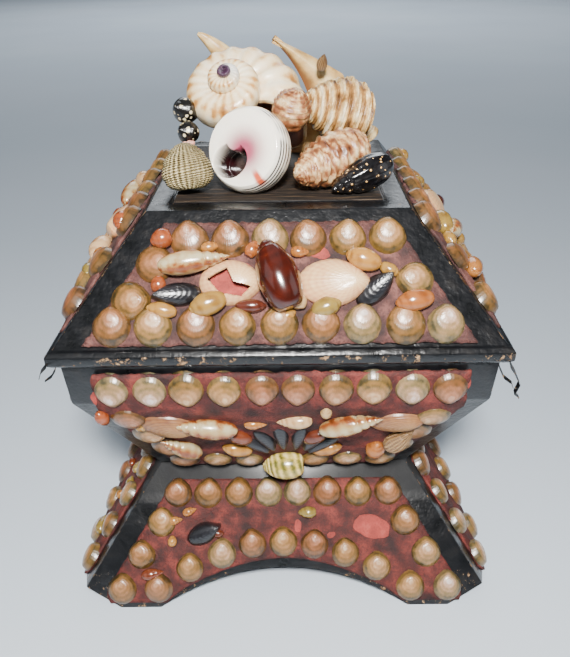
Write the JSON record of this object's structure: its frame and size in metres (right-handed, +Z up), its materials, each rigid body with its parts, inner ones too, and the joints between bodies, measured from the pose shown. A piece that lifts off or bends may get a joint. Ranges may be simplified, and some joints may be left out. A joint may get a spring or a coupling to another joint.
{
  "type": "shell box",
  "caption": "Square sarcophagus-shaped box in black paper, covered in seashells set in putty, with a lift-off pyramid lid topped by larger shells.",
  "frame": {"origin": "middle of the footprint on the floor", "axes": "+Z up, -Y out of the front face, +X to the right seen from the front"},
  "size_m": [0.1996, 0.2, 0.2327],
  "materials": {
    "black_paper": "satin",
    "red_putty": "matte",
    "pink_putty": "matte",
    "cream_shell": "satin",
    "tan_shell": "satin",
    "white_shell": "gloss",
    "fan_shell": "satin",
    "banded_shell": "satin",
    "chestnut_shell": "gloss",
    "mussel_shell": "gloss",
    "dark_shell": "gloss",
    "rock_shell": "matte",
    "pink_crystal": "satin"
  },
  "bodies": {
    "root": {"plinth": "black_paper", "box_body": "black_paper", "lid": "black_paper", "plinth_front_mussel": "mussel_shell", "plinth_front_panel": "red_putty", "plinth_right_panel": "red_putty", "plinth_back_panel": "red_putty", "plinth_left_panel": "red_putty", "body_front_oval_valve_left": "tan_shell", "body_front_turret_left": "banded_shell", "body_front_turret_right": "banded_shell", "body_front_oval_valve_right": "tan_shell", "body_front_hanging_snail": "banded_shell", "body_front_turret_low": "banded_shell", "body_front_ribbed_whelk": "tan_shell", "body_front_panel": "red_putty", "body_right_oval_valve": "tan_shell", "body_right_turret": "banded_shell", "body_right_panel": "red_putty", "body_back_oval_valve": "tan_shell", "body_back_turret": "banded_shell", "body_back_panel": "red_putty", "body_left_oval_valve": "tan_shell", "body_left_turret": "banded_shell", "body_left_panel": "red_putty", "lid_front_chestnut_snail": "chestnut_shell", "lid_front_fan_valve": "fan_shell", "lid_front_broken_valve": "fan_shell", "lid_front_banded_whelk": "banded_shell", "lid_front_mussel_left": "mussel_shell", "lid_front_mussel_right": "mussel_shell", "lid_front_panel": "pink_putty", "lid_right_fan_valve": "fan_shell", "lid_right_banded_whelk": "banded_shell", "lid_right_panel": "pink_putty", "lid_back_fan_valve": "fan_shell", "lid_back_banded_whelk": "banded_shell", "lid_back_panel": "pink_putty", "lid_left_fan_valve": "fan_shell", "lid_left_banded_whelk": "banded_shell", "lid_left_panel": "pink_putty", "top_turban_shell": "cream_shell", "top_moon_shell": "white_shell", "top_basket_shell": "tan_shell", "top_rock_shell": "rock_shell", "top_frilled_shell": "cream_shell", "top_spotted_shell": "dark_shell", "top_cockle_lump": "tan_shell", "top_dark_nerite": "dark_shell", "top_crystal_clump": "pink_crystal", "top_small_nerite": "dark_shell", "top_horn_shell": "cream_shell", "top_blade_shell": "cream_shell", "top_flat_valve": "tan_shell"}
  },
  "joints": []
}
